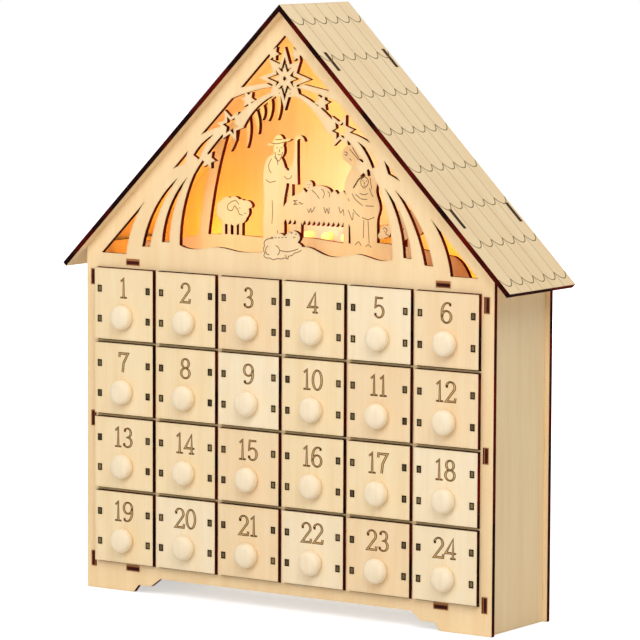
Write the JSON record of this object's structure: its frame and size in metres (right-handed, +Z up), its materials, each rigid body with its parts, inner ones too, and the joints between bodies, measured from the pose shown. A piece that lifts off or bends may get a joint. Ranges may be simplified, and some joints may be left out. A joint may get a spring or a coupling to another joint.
{
  "type": "advent calendar",
  "caption": "House-shaped plywood advent calendar with numbered knobbed drawers, a fretwork gable over a lit nativity scene, and a roof engraved with shingles.",
  "frame": {"origin": "on the table under the middle of the whole calendar", "axes": "+Z up; -Y out of the drawer fronts; +X to the right as seen from the front"},
  "size_m": [0.3176, 0.0754, 0.3564],
  "materials": {
    "plywood": "unfinished lime plywood",
    "drawer_plywood": "unfinished lime plywood, engraved numbers",
    "turned_wood": "turned, satin",
    "unit_plastic": "moulded",
    "switch_plastic": "moulded",
    "cell_jacket": "plain",
    "lamp_lens": "clear warm lens"
  },
  "bodies": {
    "case": {"front_panel": "plywood", "back_panel": "plywood", "side_walls": "plywood", "roof_left": "plywood", "roof_right": "plywood", "drawer_grid": "plywood", "scene_figures": "plywood", "battery_box": "unit_plastic", "batteries": "cell_jacket", "led_lamps": "lamp_lens"},
    "drawer_body_01": {"drawer_01": "drawer_plywood", "knob_01": "turned_wood"},
    "drawer_body_02": {"drawer_02": "drawer_plywood", "knob_02": "turned_wood"},
    "drawer_body_03": {"drawer_03": "drawer_plywood", "knob_03": "turned_wood"},
    "drawer_body_04": {"drawer_04": "drawer_plywood", "knob_04": "turned_wood"},
    "drawer_body_05": {"drawer_05": "drawer_plywood", "knob_05": "turned_wood"},
    "drawer_body_06": {"drawer_06": "drawer_plywood", "knob_06": "turned_wood"},
    "drawer_body_07": {"drawer_07": "drawer_plywood", "knob_07": "turned_wood"},
    "drawer_body_08": {"drawer_08": "drawer_plywood", "knob_08": "turned_wood"},
    "drawer_body_09": {"drawer_09": "drawer_plywood", "knob_09": "turned_wood"},
    "drawer_body_10": {"drawer_10": "drawer_plywood", "knob_10": "turned_wood"},
    "drawer_body_11": {"drawer_11": "drawer_plywood", "knob_11": "turned_wood"},
    "drawer_body_12": {"drawer_12": "drawer_plywood", "knob_12": "turned_wood"},
    "drawer_body_13": {"drawer_13": "drawer_plywood", "knob_13": "turned_wood"},
    "drawer_body_14": {"drawer_14": "drawer_plywood", "knob_14": "turned_wood"},
    "drawer_body_15": {"drawer_15": "drawer_plywood", "knob_15": "turned_wood"},
    "drawer_body_16": {"drawer_16": "drawer_plywood", "knob_16": "turned_wood"},
    "drawer_body_17": {"drawer_17": "drawer_plywood", "knob_17": "turned_wood"},
    "drawer_body_18": {"drawer_18": "drawer_plywood", "knob_18": "turned_wood"},
    "drawer_body_19": {"drawer_19": "drawer_plywood", "knob_19": "turned_wood"},
    "drawer_body_20": {"drawer_20": "drawer_plywood", "knob_20": "turned_wood"},
    "drawer_body_21": {"drawer_21": "drawer_plywood", "knob_21": "turned_wood"},
    "drawer_body_22": {"drawer_22": "drawer_plywood", "knob_22": "turned_wood"},
    "drawer_body_23": {"drawer_23": "drawer_plywood", "knob_23": "turned_wood"},
    "drawer_body_24": {"drawer_24": "drawer_plywood", "knob_24": "turned_wood"},
    "cover": {"battery_cover": "unit_plastic"},
    "switch": {"switch_slider": "switch_plastic"}
  },
  "joints": [
    {"name": "drawer_slide_01", "type": "slide", "parent": "case", "child": "drawer_body_01", "axis": [0, -1, 0], "range_m": [0, 0.05]},
    {"name": "drawer_slide_02", "type": "slide", "parent": "case", "child": "drawer_body_02", "axis": [0, -1, 0], "range_m": [0, 0.05]},
    {"name": "drawer_slide_03", "type": "slide", "parent": "case", "child": "drawer_body_03", "axis": [0, -1, 0], "range_m": [0, 0.05]},
    {"name": "drawer_slide_04", "type": "slide", "parent": "case", "child": "drawer_body_04", "axis": [0, -1, 0], "range_m": [0, 0.05]},
    {"name": "drawer_slide_05", "type": "slide", "parent": "case", "child": "drawer_body_05", "axis": [0, -1, 0], "range_m": [0, 0.05]},
    {"name": "drawer_slide_06", "type": "slide", "parent": "case", "child": "drawer_body_06", "axis": [0, -1, 0], "range_m": [0, 0.05]},
    {"name": "drawer_slide_07", "type": "slide", "parent": "case", "child": "drawer_body_07", "axis": [0, -1, 0], "range_m": [0, 0.05]},
    {"name": "drawer_slide_08", "type": "slide", "parent": "case", "child": "drawer_body_08", "axis": [0, -1, 0], "range_m": [0, 0.05]},
    {"name": "drawer_slide_09", "type": "slide", "parent": "case", "child": "drawer_body_09", "axis": [0, -1, 0], "range_m": [0, 0.05]},
    {"name": "drawer_slide_10", "type": "slide", "parent": "case", "child": "drawer_body_10", "axis": [0, -1, 0], "range_m": [0, 0.05]},
    {"name": "drawer_slide_11", "type": "slide", "parent": "case", "child": "drawer_body_11", "axis": [0, -1, 0], "range_m": [0, 0.05]},
    {"name": "drawer_slide_12", "type": "slide", "parent": "case", "child": "drawer_body_12", "axis": [0, -1, 0], "range_m": [0, 0.05]},
    {"name": "drawer_slide_13", "type": "slide", "parent": "case", "child": "drawer_body_13", "axis": [0, -1, 0], "range_m": [0, 0.05]},
    {"name": "drawer_slide_14", "type": "slide", "parent": "case", "child": "drawer_body_14", "axis": [0, -1, 0], "range_m": [0, 0.05]},
    {"name": "drawer_slide_15", "type": "slide", "parent": "case", "child": "drawer_body_15", "axis": [0, -1, 0], "range_m": [0, 0.05]},
    {"name": "drawer_slide_16", "type": "slide", "parent": "case", "child": "drawer_body_16", "axis": [0, -1, 0], "range_m": [0, 0.05]},
    {"name": "drawer_slide_17", "type": "slide", "parent": "case", "child": "drawer_body_17", "axis": [0, -1, 0], "range_m": [0, 0.05]},
    {"name": "drawer_slide_18", "type": "slide", "parent": "case", "child": "drawer_body_18", "axis": [0, -1, 0], "range_m": [0, 0.05]},
    {"name": "drawer_slide_19", "type": "slide", "parent": "case", "child": "drawer_body_19", "axis": [0, -1, 0], "range_m": [0, 0.05]},
    {"name": "drawer_slide_20", "type": "slide", "parent": "case", "child": "drawer_body_20", "axis": [0, -1, 0], "range_m": [0, 0.05]},
    {"name": "drawer_slide_21", "type": "slide", "parent": "case", "child": "drawer_body_21", "axis": [0, -1, 0], "range_m": [0, 0.05]},
    {"name": "drawer_slide_22", "type": "slide", "parent": "case", "child": "drawer_body_22", "axis": [0, -1, 0], "range_m": [0, 0.05]},
    {"name": "drawer_slide_23", "type": "slide", "parent": "case", "child": "drawer_body_23", "axis": [0, -1, 0], "range_m": [0, 0.05]},
    {"name": "drawer_slide_24", "type": "slide", "parent": "case", "child": "drawer_body_24", "axis": [0, -1, 0], "range_m": [0, 0.05]},
    {"name": "cover_pull", "type": "slide", "parent": "case", "child": "cover", "axis": [0, 1, 0], "range_m": [0, 0.02]},
    {"name": "switch_slide", "type": "slide", "parent": "case", "child": "switch", "axis": [1, 0, 0], "range_m": [0, 0.003]}
  ]
}
